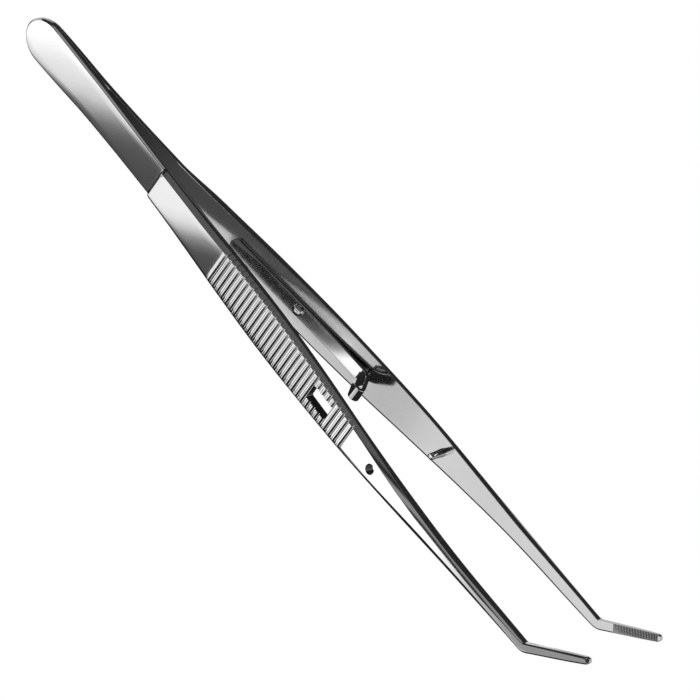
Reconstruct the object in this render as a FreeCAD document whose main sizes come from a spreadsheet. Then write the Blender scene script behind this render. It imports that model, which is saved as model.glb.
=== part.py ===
import FreeCAD, Part
import math
import os

import Sketcher

# Dental tweezers with a catch, lying on one side: +X runs from the butt to the tips,
# +Y from the near arm to the far arm, +Z up across the width of the arms.
# Inside each body X starts at the butt end and Z at the middle of the width.

sizes = {
    "overall_length": (150.0, "butt end to tips"),
    "butt_radius": (3.73, "round end of the thumb pad, its widest place"),
    "butt_thickness": (0.65, "arm thickness at the butt end"),
    "weld_length": (17.0, "length over which the two arms are welded face to face"),
    "weld_half_width": (3.3, "half width where the weld ends"),
    "pad_thickness": (1.25, "arm thickness along the thumb pad"),
    "pad_bevel": (0.35, "bevel along the sides of the thumb pad"),
    "spread_station": (26.0, "section in the middle of the open part of the pad"),
    "spread_gap": (0.6, "half gap there"),
    "spread_half_width": (3.08, "half width there"),
    "shoulder_station": (37.5, "shoulder where the pad steps up to the neck"),
    "shoulder_gap": (1.57, "half gap at the shoulder"),
    "shoulder_half_width": (2.9, "half width at the shoulder"),
    "neck_thickness": (2.05, "arm thickness just after the shoulder"),
    "neck_station": (44.0, "section in the middle of the neck"),
    "neck_gap": (2.24, "half gap there"),
    "neck_half_width": (3.0, "half width there"),
    "grip_station": (50.0, "start of the straight grip"),
    "grip_gap": (2.95, "half gap at the start of the grip"),
    "grip_thickness": (2.1, "arm thickness at the start of the grip"),
    "grip_half_width": (3.13, "half width at the start of the grip"),
    "waist_station": (72.0, "widest section of the grip"),
    "waist_half_width": (3.64, "half width there"),
    "grip_end_station": (96.0, "end of the straight grip"),
    "grip_end_gap": (8.02, "half gap at the end of the grip"),
    "grip_end_thickness": (1.97, "arm thickness at the end of the grip"),
    "grip_end_half_width": (2.62, "half width at the end of the grip"),
    "taper_station": (108.0, "first section of the taper"),
    "taper_gap": (8.75, "half gap there"),
    "taper_thickness": (2.15, "arm thickness there"),
    "taper_half_width": (1.78, "half width there"),
    "shank_station": (122.0, "slim section before the bend"),
    "shank_gap": (9.22, "half gap there"),
    "shank_thickness": (2.1, "arm thickness there"),
    "shank_half_width": (1.02, "half width there"),
    "bend_station": (140.0, "corner of the bend"),
    "bend_gap": (9.5, "half gap at the bend"),
    "bend_thickness": (1.5, "arm thickness at the bend"),
    "bend_half_width": (0.78, "half width at the bend"),
    "bend_radius": (2.0, "radius of the bend along the middle of the arm"),
    "tip_angle": (36.8, "angle by which the tips bend upwards"),
    "tip_gap": (9.43, "half gap at the tips"),
    "tip_thickness": (1.05, "arm thickness at the tips"),
    "tip_half_width": (0.62, "half width at the tips"),
    "tip_nose": (0.7, "length of the narrowing end of a tip"),
    "nose_thickness": (0.72, "arm thickness at the very end"),
    "nose_half_width": (0.34, "half width at the very end"),
    "bevel_width": (0.5, "bevel of the outer face, measured across the arm"),
    "bevel_depth": (0.5, "bevel of the outer face, measured through the arm"),
    "tip_bevel": (0.26, "bevel of the outer face at the tips"),
    "rib_start": (56.9, "first rib groove"),
    "rib_pitch": (1.29, "distance from one rib groove to the next"),
    "rib_count": (30, "number of rib grooves"),
    "rib_groove_width": (0.86, "width of a rib groove at the face"),
    "rib_groove_depth": (0.36, "depth of a rib groove"),
    "slot_start": (84.0, "end of the window slot nearer the butt"),
    "slot_length": (5.2, "length of the window slot"),
    "slot_width": (2.7, "width of the window slot"),
    "guide_hole_station": (101.25, "guide hole"),
    "guide_hole_diameter": (1.85, "guide hole"),
    "pin_station": (101.6, "guide pin"),
    "pin_diameter": (1.6, "guide pin at its base"),
    "pin_end_diameter": (1.2, "guide pin at its free end"),
    "pin_length": (3.3, "guide pin, free length"),
    "pin_round": (0.2, "rounding of the free end"),
    "rivet_station": (68.2, "catch rivet"),
    "rivet_diameter": (1.2, "shank of the catch rivet"),
    "rivet_head_diameter": (2.1, "domed head of the catch rivet"),
    "rivet_head_height": (0.5, "height of the domed head"),
    "leaf_width": (2.4, "catch leaf"),
    "leaf_thickness": (0.7, "catch leaf"),
    "leaf_clearance": (0.06, "running clearance of the leaf at the arm, head and shank"),
    "leaf_tail": (16.3, "from the rivet to the round tail"),
    "leaf_flat": (1.5, "from the rivet to the start of the bow"),
    "bow_radius": (150.0, "radius of the bow that lifts the leaf off the arm"),
    "bow_angle": (5.1, "angle over which the leaf bows"),
    "hook_angle": (64.5, "angle between the flat of the leaf and the hook"),
    "hook_bend_radius": (2.65, "bend from leaf to hook, along the middle"),
    "hook_length": (3.1, "straight part of the hook on its way out"),
    "fold_radius": (0.66, "fold at the end of the hook, along the middle"),
    "barb_length": (4.0, "straight part folded back, whose end is the catch"),
}


def make_sheet(doc):
    # every driving size in one sheet, one row each
    sheet = doc.addObject("Spreadsheet::Sheet", "Sizes")
    for row, (name, (value, note)) in enumerate(sizes.items(), start=1):
        sheet.set(f"A{row}", name)
        sheet.set(f"B{row}", str(value))
        sheet.set(f"C{row}", note)
        sheet.setAlias(f"B{row}", name)
    doc.recompute()
    return sheet


def size(name):
    return sizes[name][0]


def origin_plane(body, role):
    for feature in body.Origin.OriginFeatures:
        if feature.Role == role:
            return feature
    raise ValueError(role)


def new_body(doc, name, x="0", y="0", turn="0"):
    # each body sits with the butt at half the length behind the origin and the widest
    # part of the butt on the ground; x, y and turn place and turn small parts
    body = doc.addObject("PartDesign::Body", name)
    body.Label = name
    body.Placement = FreeCAD.Placement(FreeCAD.Vector(), FreeCAD.Rotation(FreeCAD.Vector(0, 0, 1), 1))
    body.setExpression("Placement.Base.x", f"{x} - Sizes.overall_length / 2")
    body.setExpression("Placement.Base.y", y)
    body.setExpression("Placement.Base.z", "Sizes.butt_radius")
    body.setExpression("Placement.Rotation.Angle", turn)
    return body


def new_sketch(body, name, role, offset=("0", "0", "0"), axis=(0, 0, 1), turn="0"):
    # a sketch on an origin plane of its body, moved by offset and turned about axis
    sketch = body.newObject("Sketcher::SketchObject", name)
    sketch.AttachmentSupport = [(origin_plane(body, role), "")]
    sketch.MapMode = "FlatFace"
    sketch.AttachmentOffset = FreeCAD.Placement(
        FreeCAD.Vector(), FreeCAD.Rotation(FreeCAD.Vector(*axis), 1))
    for letter, value in zip("xyz", offset):
        sketch.setExpression(f"AttachmentOffset.Base.{letter}", value)
    sketch.setExpression("AttachmentOffset.Rotation.Angle", turn)
    return sketch


def fix_coordinate(sketch, geometry, point, kind, value):
    # ties the X or Y of one point of the sketch to an expression
    where = sketch.getPoint(geometry, point)
    now = where.x if kind == "DistanceX" else where.y
    index = sketch.addConstraint(Sketcher.Constraint(kind, -1, 1, geometry, point, now))
    sketch.setExpression(f"Constraints[{index}]", value)


def fix_point(sketch, geometry, point, x, y):
    # ties a point to two expressions; None keeps it on the axis
    for kind, value, axis in (("DistanceX", x, -2), ("DistanceY", y, -1)):
        if value is None:
            sketch.addConstraint(Sketcher.Constraint("PointOnObject", geometry, point, axis))
        else:
            fix_coordinate(sketch, geometry, point, kind, value)


def closed_outline(sketch, corners):
    # straight-sided outline; corners are (rough x, rough y, x expression, y expression)
    count = len(corners)
    points = [FreeCAD.Vector(c[0], c[1], 0) for c in corners]
    for i in range(count):
        sketch.addGeometry(Part.LineSegment(points[i], points[(i + 1) % count]), False)
    for i in range(count):
        sketch.addConstraint(Sketcher.Constraint("Coincident", i, 2, (i + 1) % count, 1))
    for i, corner in enumerate(corners):
        fix_point(sketch, i, 1, corner[2], corner[3])


def arm_section(body, name, side, station, gap, thickness, half_width, bevel, lift="0", turn="0"):
    # six-sided section across an arm: flat inner face, two edges, bevelled outer face
    across, through = bevel
    sketch = new_sketch(body, name, "YZ_Plane", ("0", lift, station), (1, 0, 0), f"-({turn})")
    inner = None if gap is None else f"{side} * ({gap})"
    start = "0" if gap is None else gap
    edge = f"{side} * ({start} + {thickness} - {through})"
    outer = f"{side} * ({start} + {thickness})"
    corners = [
        (1 * side, -3, inner, f"-({half_width})"),
        (2 * side, -3, edge, f"-({half_width})"),
        (3 * side, -2, outer, f"-({half_width} - {across})"),
        (3 * side, 2, outer, f"{half_width} - {across}"),
        (2 * side, 3, edge, f"{half_width}"),
        (1 * side, 3, inner, f"{half_width}"),
    ]
    closed_outline(sketch, corners)
    return sketch


def loft(body, name, sections):
    feature = body.newObject("PartDesign::AdditiveLoft", name)
    feature.Profile = sections[0]
    feature.Sections = sections[1:]
    feature.Ruled = False
    return feature


def cut_through(body, name, sketch):
    # pocket through the whole body, both ways from its sketch
    pocket = body.newObject("PartDesign::Pocket", name)
    pocket.Profile = sketch
    pocket.SideType = "Symmetric"
    pocket.Type = "ThroughAll"
    return pocket


def round_end(body, name, start, radius, inward=1):
    # rounds an end in plan: everything outside a half circle is cut away
    rough = 3.0
    sketch = new_sketch(body, name + "_outline", "XZ_Plane", (start, "0", "0"))
    far = 2 * rough
    points = [(rough, rough), (rough, far), (-rough, far), (-rough, -far), (rough, -far), (rough, -rough)]
    vectors = [FreeCAD.Vector(x * inward, y, 0) for x, y in points]
    for i in range(5):
        sketch.addGeometry(Part.LineSegment(vectors[i], vectors[i + 1]), False)
    circle = Part.Circle(FreeCAD.Vector(rough * inward, 0, 0), FreeCAD.Vector(0, 0, 1), rough)
    first = math.radians(90)
    arc = sketch.addGeometry(Part.ArcOfCircle(circle, first, first + math.pi), False)
    for i in range(4):
        sketch.addConstraint(Sketcher.Constraint("Coincident", i, 2, i + 1, 1))
    sketch.addConstraint(Sketcher.Constraint("Coincident", arc, 1, 0, 1))
    sketch.addConstraint(Sketcher.Constraint("Coincident", arc, 2, 4, 2))
    fix_coordinate(sketch, arc, 3, "DistanceX", radius)
    fix_point(sketch, arc, 1, radius, radius)
    fix_point(sketch, arc, 2, radius, f"-({radius})")
    fix_point(sketch, 0, 2, radius, f"2 * ({radius})")
    fix_point(sketch, 1, 2, f"-({radius})", f"2 * ({radius})")
    fix_point(sketch, 2, 2, f"-({radius})", f"-2 * ({radius})")
    fix_point(sketch, 3, 2, radius, f"-2 * ({radius})")
    return cut_through(body, name, sketch)


def between(station, first, last, at_first, at_last):
    # value on the straight line between two sections
    share = f"(({station}) - {first}) / ({last} - {first})"
    return f"({at_first} + ({at_last} - {at_first}) * {share})"


def on_grip(station, at_start, at_end):
    return between(station, "Sizes.grip_station", "Sizes.grip_end_station", at_start, at_end)


grip_gap = on_grip("Sizes.waist_station", "Sizes.grip_gap", "Sizes.grip_end_gap")
grip_thickness = on_grip("Sizes.waist_station", "Sizes.grip_thickness", "Sizes.grip_end_thickness")
rivet_gap = on_grip("Sizes.rivet_station", "Sizes.grip_gap", "Sizes.grip_end_gap")
rivet_thickness = on_grip("Sizes.rivet_station", "Sizes.grip_thickness", "Sizes.grip_end_thickness")
rivet_turn = "atan((Sizes.grip_end_gap - Sizes.grip_gap) / (Sizes.grip_end_station - Sizes.grip_station))"
pin_ends = ("Sizes.pin_station", "Sizes.grip_end_station", "Sizes.taper_station")
pin_gap = between(*pin_ends, "Sizes.grip_end_gap", "Sizes.taper_gap")
pin_thickness = between(*pin_ends, "Sizes.grip_end_thickness", "Sizes.taper_thickness")
pin_turn = "atan((Sizes.taper_gap - Sizes.grip_end_gap) / (Sizes.taper_station - Sizes.grip_end_station))"
bend_start = "(Sizes.bend_station - Sizes.bend_radius * tan(Sizes.tip_angle / 2))"
tip_reach = "(Sizes.overall_length - Sizes.nose_half_width * sin(Sizes.tip_angle) - Sizes.bend_station)"


def pad_outline(body):
    # plan of the welded part: round butt, then two edges that run in to the weld's end
    sketch = new_sketch(body, "pad_outline", "XZ_Plane")
    radius = size("butt_radius")
    length = size("weld_length")
    half_width = size("weld_half_width")
    slope = math.atan2(radius - half_width, length - radius)
    circle = Part.Circle(FreeCAD.Vector(radius, 0, 0), FreeCAD.Vector(0, 0, 1), radius)
    first = math.pi / 2 - slope
    sketch.addGeometry(Part.ArcOfCircle(circle, first, 2 * math.pi - first), False)
    top = circle.value(first)
    corners = [FreeCAD.Vector(length, half_width, 0), FreeCAD.Vector(length, -half_width, 0)]
    sketch.addGeometry(Part.LineSegment(top, corners[0]), False)
    sketch.addGeometry(Part.LineSegment(corners[0], corners[1]), False)
    sketch.addGeometry(Part.LineSegment(corners[1], FreeCAD.Vector(top.x, -top.y, 0)), False)
    arc, upper, end, lower = range(4)
    sketch.addConstraint(Sketcher.Constraint("Tangent", arc, 1, upper, 1))
    sketch.addConstraint(Sketcher.Constraint("Coincident", upper, 2, end, 1))
    sketch.addConstraint(Sketcher.Constraint("Coincident", end, 2, lower, 1))
    sketch.addConstraint(Sketcher.Constraint("Tangent", lower, 2, arc, 2))
    fix_point(sketch, arc, 3, "Sizes.butt_radius", None)
    index = sketch.addConstraint(Sketcher.Constraint("Radius", arc, radius))
    sketch.setExpression(f"Constraints[{index}]", "Sizes.butt_radius")
    fix_point(sketch, upper, 2, "Sizes.weld_length", "Sizes.weld_half_width")
    fix_point(sketch, end, 2, "Sizes.weld_length", "-Sizes.weld_half_width")
    return sketch


def outer_rim(shape, end):
    # names of the edges round the outer face, without the one where the weld ends
    rim = []
    for number, edge in enumerate(shape.Edges, start=1):
        ends = [vertex.Point for vertex in edge.Vertexes]
        outside = all(abs(point.y) > size("butt_thickness") / 2 for point in ends)
        across = all(abs(point.x - end) < 1e-4 for point in ends)
        along = abs(ends[0].z - ends[-1].z) > 1e-4 or abs(ends[0].x - ends[-1].x) > 1e-4
        if outside and along and not across:
            rim.append(f"Edge{number}")
    return rim


def make_pad(doc, body, side):
    # thumb pad: flat welded part with a round butt, then the part where the arms part
    pad = body.newObject("PartDesign::Pad", "pad_blank")
    pad.Profile = pad_outline(body)
    pad.setExpression("Length", "Sizes.pad_thickness")
    pad.Reversed = side > 0
    slope = new_sketch(body, "pad_slope", "XY_Plane")
    thin = f"{side} * Sizes.butt_thickness"
    thick = f"{side} * Sizes.pad_thickness"
    spare = f"{side} * (2 * Sizes.pad_thickness - Sizes.butt_thickness)"
    closed_outline(slope, [(0, 0.6 * side, None, thin), (17, 1.2 * side, "Sizes.weld_length", thick),
                           (0, 1.8 * side, None, spare)])
    taper = cut_through(body, "pad_taper", slope)
    doc.recompute()
    chamfer = body.newObject("PartDesign::Chamfer", "pad_bevel")
    chamfer.Base = (taper, outer_rim(taper.Shape, size("weld_length")))
    chamfer.setExpression("Size", "Sizes.pad_bevel")
    bevel = ("Sizes.pad_bevel", "Sizes.pad_bevel")
    weld = arm_section(body, "weld_section", side, "Sizes.weld_length", None,
                       "Sizes.pad_thickness", "Sizes.weld_half_width", bevel)
    spread = arm_section(body, "spread_section", side, "Sizes.spread_station", "Sizes.spread_gap",
                         "Sizes.pad_thickness", "Sizes.spread_half_width", bevel)
    shoulder = arm_section(body, "shoulder_section", side, "Sizes.shoulder_station", "Sizes.shoulder_gap",
                           "Sizes.pad_thickness", "Sizes.shoulder_half_width", bevel)
    loft(body, "open_pad", [weld, spread, shoulder])


def make_blade(body, side):
    # neck, straight grip, long taper, bend and tip
    bevel = ("Sizes.bevel_width", "Sizes.bevel_depth")
    tip_bevel = ("Sizes.tip_bevel", "Sizes.tip_bevel")
    root = arm_section(body, "neck_root", side, "Sizes.shoulder_station", "Sizes.shoulder_gap",
                       "Sizes.neck_thickness", "Sizes.shoulder_half_width", bevel)
    neck = arm_section(body, "neck_section", side, "Sizes.neck_station", "Sizes.neck_gap",
                       "(Sizes.neck_thickness + Sizes.grip_thickness) / 2", "Sizes.neck_half_width", bevel)
    grip = arm_section(body, "grip_section", side, "Sizes.grip_station", "Sizes.grip_gap",
                       "Sizes.grip_thickness", "Sizes.grip_half_width", bevel)
    waist = arm_section(body, "waist_section", side, "Sizes.waist_station", grip_gap,
                        grip_thickness, "Sizes.waist_half_width", bevel)
    grip_end = arm_section(body, "grip_end_section", side, "Sizes.grip_end_station", "Sizes.grip_end_gap",
                           "Sizes.grip_end_thickness", "Sizes.grip_end_half_width", bevel)
    taper = arm_section(body, "taper_section", side, "Sizes.taper_station", "Sizes.taper_gap",
                        "Sizes.taper_thickness", "Sizes.taper_half_width", bevel)
    shank = arm_section(body, "shank_section", side, "Sizes.shank_station", "Sizes.shank_gap",
                        "Sizes.shank_thickness", "Sizes.shank_half_width", bevel)
    bend = arm_section(body, "bend_section", side, bend_start, "Sizes.bend_gap",
                       "Sizes.bend_thickness", "Sizes.bend_half_width", tip_bevel)
    loft(body, "neck", [root, neck, grip])
    loft(body, "grip", [grip, waist, grip_end])
    loft(body, "taper", [grip_end, taper, shank, bend])
    make_bend(body, bend)
    make_tip(body, side, tip_bevel)


def make_bend(body, section):
    # the bend turns the last section about a line above it
    axis = section.addGeometry(Part.LineSegment(FreeCAD.Vector(-1, 2, 0), FreeCAD.Vector(1, 2, 0)), True)
    fix_point(section, axis, 1, "-1", "Sizes.bend_radius")
    fix_point(section, axis, 2, "1", "Sizes.bend_radius")
    turn = body.newObject("PartDesign::Revolution", "bend")
    turn.Profile = section
    turn.ReferenceAxis = (section, ["Axis0"])
    turn.setExpression("Angle", "Sizes.tip_angle")
    turn.Reversed = True


def make_tip(body, side, bevel):
    # the tip runs on from the bend and ends in a short nose
    radius = "Sizes.bend_radius"
    angle = "Sizes.tip_angle"
    first = arm_section(body, "tip_root", side, f"{bend_start} + {radius} * sin({angle})", "Sizes.bend_gap",
                        "Sizes.bend_thickness", "Sizes.bend_half_width", bevel,
                        f"{radius} * (1 - cos({angle}))", angle)
    nose = f"{tip_reach} - Sizes.tip_nose * cos({angle})"
    second = arm_section(body, "tip_section", side, f"Sizes.bend_station + {nose}", "Sizes.tip_gap",
                         "Sizes.tip_thickness", "Sizes.tip_half_width", bevel,
                         f"({nose}) * tan({angle})", angle)
    last = arm_section(body, "tip_end", side, f"Sizes.bend_station + {tip_reach}", "Sizes.tip_gap",
                       "Sizes.nose_thickness", "Sizes.nose_half_width",
                       ("Sizes.tip_bevel / 2", "Sizes.tip_bevel / 2"),
                       f"{tip_reach} * tan({angle})", angle)
    loft(body, "tip", [first, second])
    loft(body, "tip_nose", [second, last])


def cut_ribs(body, side):
    # one V groove across the outer face, repeated along the straight grip
    start = "(Sizes.grip_gap + Sizes.grip_thickness)"
    end = "(Sizes.grip_end_gap + Sizes.grip_end_thickness)"
    spare = "0.15"
    half = f"(Sizes.rib_groove_width / 2 * (1 + {spare} / Sizes.rib_groove_depth))"
    at = "Sizes.rib_start"
    sketch = new_sketch(body, "rib_outline", "XY_Plane")
    corners = [
        (56.9, 5 * side, at, f"{side} * ({on_grip(at, start, end)} - Sizes.rib_groove_depth)"),
        (57.5, 6 * side, f"{at} + {half}", f"{side} * ({on_grip(f'{at} + {half}', start, end)} + {spare})"),
        (56.3, 6 * side, f"{at} - {half}", f"{side} * ({on_grip(f'{at} - {half}', start, end)} + {spare})"),
    ]
    closed_outline(sketch, corners)
    line = sketch.addGeometry(
        Part.LineSegment(FreeCAD.Vector(50, 5 * side, 0), FreeCAD.Vector(96, 10 * side, 0)), True)
    fix_point(sketch, line, 1, "Sizes.grip_station", f"{side} * {start}")
    fix_point(sketch, line, 2, "Sizes.grip_end_station", f"{side} * {end}")
    groove = cut_through(body, "rib_groove", sketch)
    pattern = body.newObject("PartDesign::LinearPattern", "ribs")
    pattern.Originals = [groove]
    pattern.Direction = (sketch, ["Axis0"])
    pattern.Mode = "Spacing"
    pattern.setExpression("Offset", "Sizes.rib_pitch")
    pattern.setExpression("Occurrences", "Sizes.rib_count")
    body.Tip = pattern


def cut_slot(body):
    # window that the hook passes through
    sketch = new_sketch(body, "slot_outline", "XZ_Plane")
    start = "Sizes.slot_start"
    end = "Sizes.slot_start + Sizes.slot_length"
    corners = [
        (84, -1, start, "-Sizes.slot_width / 2"),
        (89, -1, end, "-Sizes.slot_width / 2"),
        (89, 1, end, "Sizes.slot_width / 2"),
        (84, 1, start, "Sizes.slot_width / 2"),
    ]
    closed_outline(sketch, corners)
    cut_through(body, "slot", sketch)


def cut_bore(body, name, diameter, station, gap="0", turn="0"):
    # round hole square to the arm's inner face
    sketch = new_sketch(body, name + "_outline", "XZ_Plane", (station, "0", f"-({gap})"), (0, 1, 0), turn)
    circle = sketch.addGeometry(
        Part.Circle(FreeCAD.Vector(0, 0, 0), FreeCAD.Vector(0, 0, 1), 0.8), False)
    sketch.addConstraint(Sketcher.Constraint("Coincident", circle, 3, -1, 1))
    index = sketch.addConstraint(Sketcher.Constraint("Diameter", circle, 1.6))
    sketch.setExpression(f"Constraints[{index}]", diameter)
    cut_through(body, name, sketch)


def make_near_arm(doc):
    body = new_body(doc, "near_arm")
    make_pad(doc, body, -1)
    make_blade(body, -1)
    cut_ribs(body, -1)
    cut_slot(body)
    cut_bore(body, "guide_hole", "Sizes.guide_hole_diameter", "Sizes.guide_hole_station")
    return body


def make_far_arm(doc):
    body = new_body(doc, "far_arm")
    make_pad(doc, body, 1)
    make_blade(body, 1)
    cut_ribs(body, 1)
    cut_bore(body, "pin_seat", "Sizes.pin_diameter", "Sizes.pin_station", pin_gap, pin_turn)
    cut_bore(body, "rivet_seat", "Sizes.rivet_diameter", "Sizes.rivet_station", rivet_gap, rivet_turn)
    return body


def turned(body, name, corners):
    # solid of revolution about the local Y axis
    sketch = new_sketch(body, name + "_outline", "XY_Plane")
    closed_outline(sketch, corners)
    feature = body.newObject("PartDesign::Revolution", name)
    feature.Profile = sketch
    feature.ReferenceAxis = (sketch, ["V_Axis"])
    feature.Angle = 360
    return feature


def make_guide_pin(doc):
    # slightly tapered pin, pressed through the far arm and flush with its outer face
    body = new_body(doc, "guide_pin", "Sizes.pin_station", pin_gap, pin_turn)
    end = "-Sizes.pin_length"
    corners = [
        (0, -5, None, end),
        (0.4, -5, "Sizes.pin_end_diameter / 2 - Sizes.pin_round", end),
        (0.6, -4.8, "Sizes.pin_end_diameter / 2", f"{end} + Sizes.pin_round"),
        (0.8, -0.1, "Sizes.pin_diameter / 2", None),
        (0.8, 1.9, "Sizes.pin_diameter / 2", f"{pin_thickness} * cos({pin_turn})"),
        (0, 1.9, None, f"{pin_thickness} * cos({pin_turn})"),
    ]
    turned(body, "pin", corners)
    return body


def make_catch_rivet(doc):
    # shank through the arm and the leaf, with a domed head on the leaf
    body = new_body(doc, "catch_rivet", "Sizes.rivet_station", rivet_gap, rivet_turn)
    under = "(-Sizes.leaf_thickness - 2 * Sizes.leaf_clearance)"
    top = f"({under} - Sizes.rivet_head_height)"
    shank = "Sizes.rivet_diameter / 2"
    head = "Sizes.rivet_head_diameter / 2"
    corners = [
        (0, -1.4, None, top),
        (0.45, -1.35, f"{head} * 0.45", f"{top} + Sizes.rivet_head_height * 0.1"),
        (0.8, -1.2, f"{head} * 0.78", f"{top} + Sizes.rivet_head_height * 0.35"),
        (1.05, -1.0, head, f"{top} + Sizes.rivet_head_height * 0.75"),
        (1.05, -0.8, head, under),
        (0.6, -0.8, shank, under),
        (0.6, 1.9, shank, f"{rivet_thickness} * cos({rivet_turn})"),
        (0, 1.9, None, f"{rivet_thickness} * cos({rivet_turn})"),
    ]
    turned(body, "rivet", corners)
    return body


def leaf_route(body):
    # middle line of the bent strip from its tail to the end of the barb
    sketch = new_sketch(body, "leaf_route", "XY_Plane")
    flat, bow, bend, leg, fold, barb = range(6)
    level = -(size("leaf_clearance") + size("leaf_thickness") / 2)
    up = FreeCAD.Vector(0, 0, 1)
    bow_turn = math.radians(size("bow_angle"))
    hook_turn = math.radians(size("hook_angle"))
    tail = FreeCAD.Vector(-size("leaf_tail"), level, 0)
    flat_end = FreeCAD.Vector(size("leaf_flat"), level, 0)
    sketch.addGeometry(Part.LineSegment(tail, flat_end), False)
    circle = Part.Circle(flat_end - FreeCAD.Vector(0, size("bow_radius"), 0), up, size("bow_radius"))
    sketch.addGeometry(Part.ArcOfCircle(circle, math.pi / 2 - bow_turn, math.pi / 2), False)
    inward = FreeCAD.Vector(-math.sin(bow_turn), -math.cos(bow_turn), 0)
    centre = circle.value(math.pi / 2 - bow_turn) + inward * size("hook_bend_radius")
    circle = Part.Circle(centre, up, size("hook_bend_radius"))
    sketch.addGeometry(Part.ArcOfCircle(circle, math.pi / 2 - hook_turn, math.pi / 2 - bow_turn), False)
    leg_start = circle.value(math.pi / 2 - hook_turn)
    outward = FreeCAD.Vector(math.cos(hook_turn), -math.sin(hook_turn), 0)
    leg_end = leg_start + outward * size("hook_length")
    sketch.addGeometry(Part.LineSegment(leg_start, leg_end), False)
    inward = FreeCAD.Vector(-math.sin(hook_turn), -math.cos(hook_turn), 0)
    circle = Part.Circle(leg_end + inward * size("fold_radius"), up, size("fold_radius"))
    sketch.addGeometry(Part.ArcOfCircle(circle, -math.pi / 2 - hook_turn, math.pi / 2 - hook_turn), False)
    barb_start = leg_end + inward * 2 * size("fold_radius")
    sketch.addGeometry(Part.LineSegment(barb_start, barb_start - outward * size("barb_length")), False)
    for joint in ((flat, 2, bow, 2), (bow, 1, bend, 2), (bend, 1, leg, 1), (leg, 2, fold, 2), (fold, 1, barb, 1)):
        sketch.addConstraint(Sketcher.Constraint("Tangent", *joint))
    level = "-(Sizes.leaf_clearance + Sizes.leaf_thickness / 2)"
    fix_point(sketch, flat, 1, "-Sizes.leaf_tail", level)
    fix_point(sketch, flat, 2, "Sizes.leaf_flat", level)
    sized = [
        ("Radius", bow, size("bow_radius"), "Sizes.bow_radius"),
        ("Angle", bow, bow_turn, "Sizes.bow_angle"),
        ("Radius", bend, size("hook_bend_radius"), "Sizes.hook_bend_radius"),
        ("Angle", bend, hook_turn - bow_turn, "Sizes.hook_angle - Sizes.bow_angle"),
        ("Distance", leg, size("hook_length"), "Sizes.hook_length"),
        ("Radius", fold, size("fold_radius"), "Sizes.fold_radius"),
        ("Angle", fold, math.pi, "180"),
        ("Distance", barb, size("barb_length"), "Sizes.barb_length"),
    ]
    for kind, geometry, value, expression in sized:
        index = sketch.addConstraint(Sketcher.Constraint(kind, geometry, value))
        sketch.setExpression(f"Constraints[{index}]", expression)
    return sketch


def make_catch_leaf(doc):
    # spring strip: flat under the rivet, bowed off the arm, bent out and folded back
    body = new_body(doc, "catch_leaf", "Sizes.rivet_station", rivet_gap, rivet_turn)
    route = leaf_route(body)
    section = new_sketch(body, "strip_section", "YZ_Plane", ("0", "0", "-Sizes.leaf_tail"))
    near = "-(Sizes.leaf_clearance + Sizes.leaf_thickness)"
    far = "-Sizes.leaf_clearance"
    half = "Sizes.leaf_width / 2"
    closed_outline(section, [(-0.8, -1.2, near, f"-{half}"), (-0.1, -1.2, far, f"-{half}"),
                             (-0.1, 1.2, far, half), (-0.8, 1.2, near, half)])
    strip = body.newObject("PartDesign::AdditivePipe", "strip")
    strip.Profile = section
    strip.Spine = (route, [f"Edge{n}" for n in range(1, 7)])
    round_end(body, "tail_round", "-Sizes.leaf_tail", "Sizes.leaf_width / 2")
    hole = "Sizes.rivet_diameter + 2 * Sizes.leaf_clearance"
    cut_bore(body, "leaf_hole", hole, "0")
    return body


def check_state(doc, bodies):
    for item in doc.Objects:
        if "Invalid" in item.State or "Error" in item.State:
            raise RuntimeError(f"{item.Name} is {item.State}")
    for body in bodies:
        if body.Shape.isNull() or not body.Shape.isValid():
            raise RuntimeError(f"{body.Label} has no valid shape")


def main():
    doc = FreeCAD.newDocument("dental_tweezers")
    make_sheet(doc)
    bodies = [make_near_arm(doc), make_far_arm(doc), make_guide_pin(doc),
              make_catch_leaf(doc), make_catch_rivet(doc)]
    doc.recompute()
    check_state(doc, bodies)
    os.makedirs("parts", exist_ok=True)
    for body in bodies:
        body.Shape.exportStep(f"parts/{body.Label}.step")
        box = body.Shape.BoundBox
        print(body.Label, len(body.Shape.Solids), "solid", round(body.Shape.Volume, 2), "mm3",
              [round(v, 2) for v in (box.XMin, box.YMin, box.ZMin, box.XMax, box.YMax, box.ZMax)])


main()
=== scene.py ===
import math

import bmesh
import bpy
from mathutils import Matrix, Vector


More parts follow.
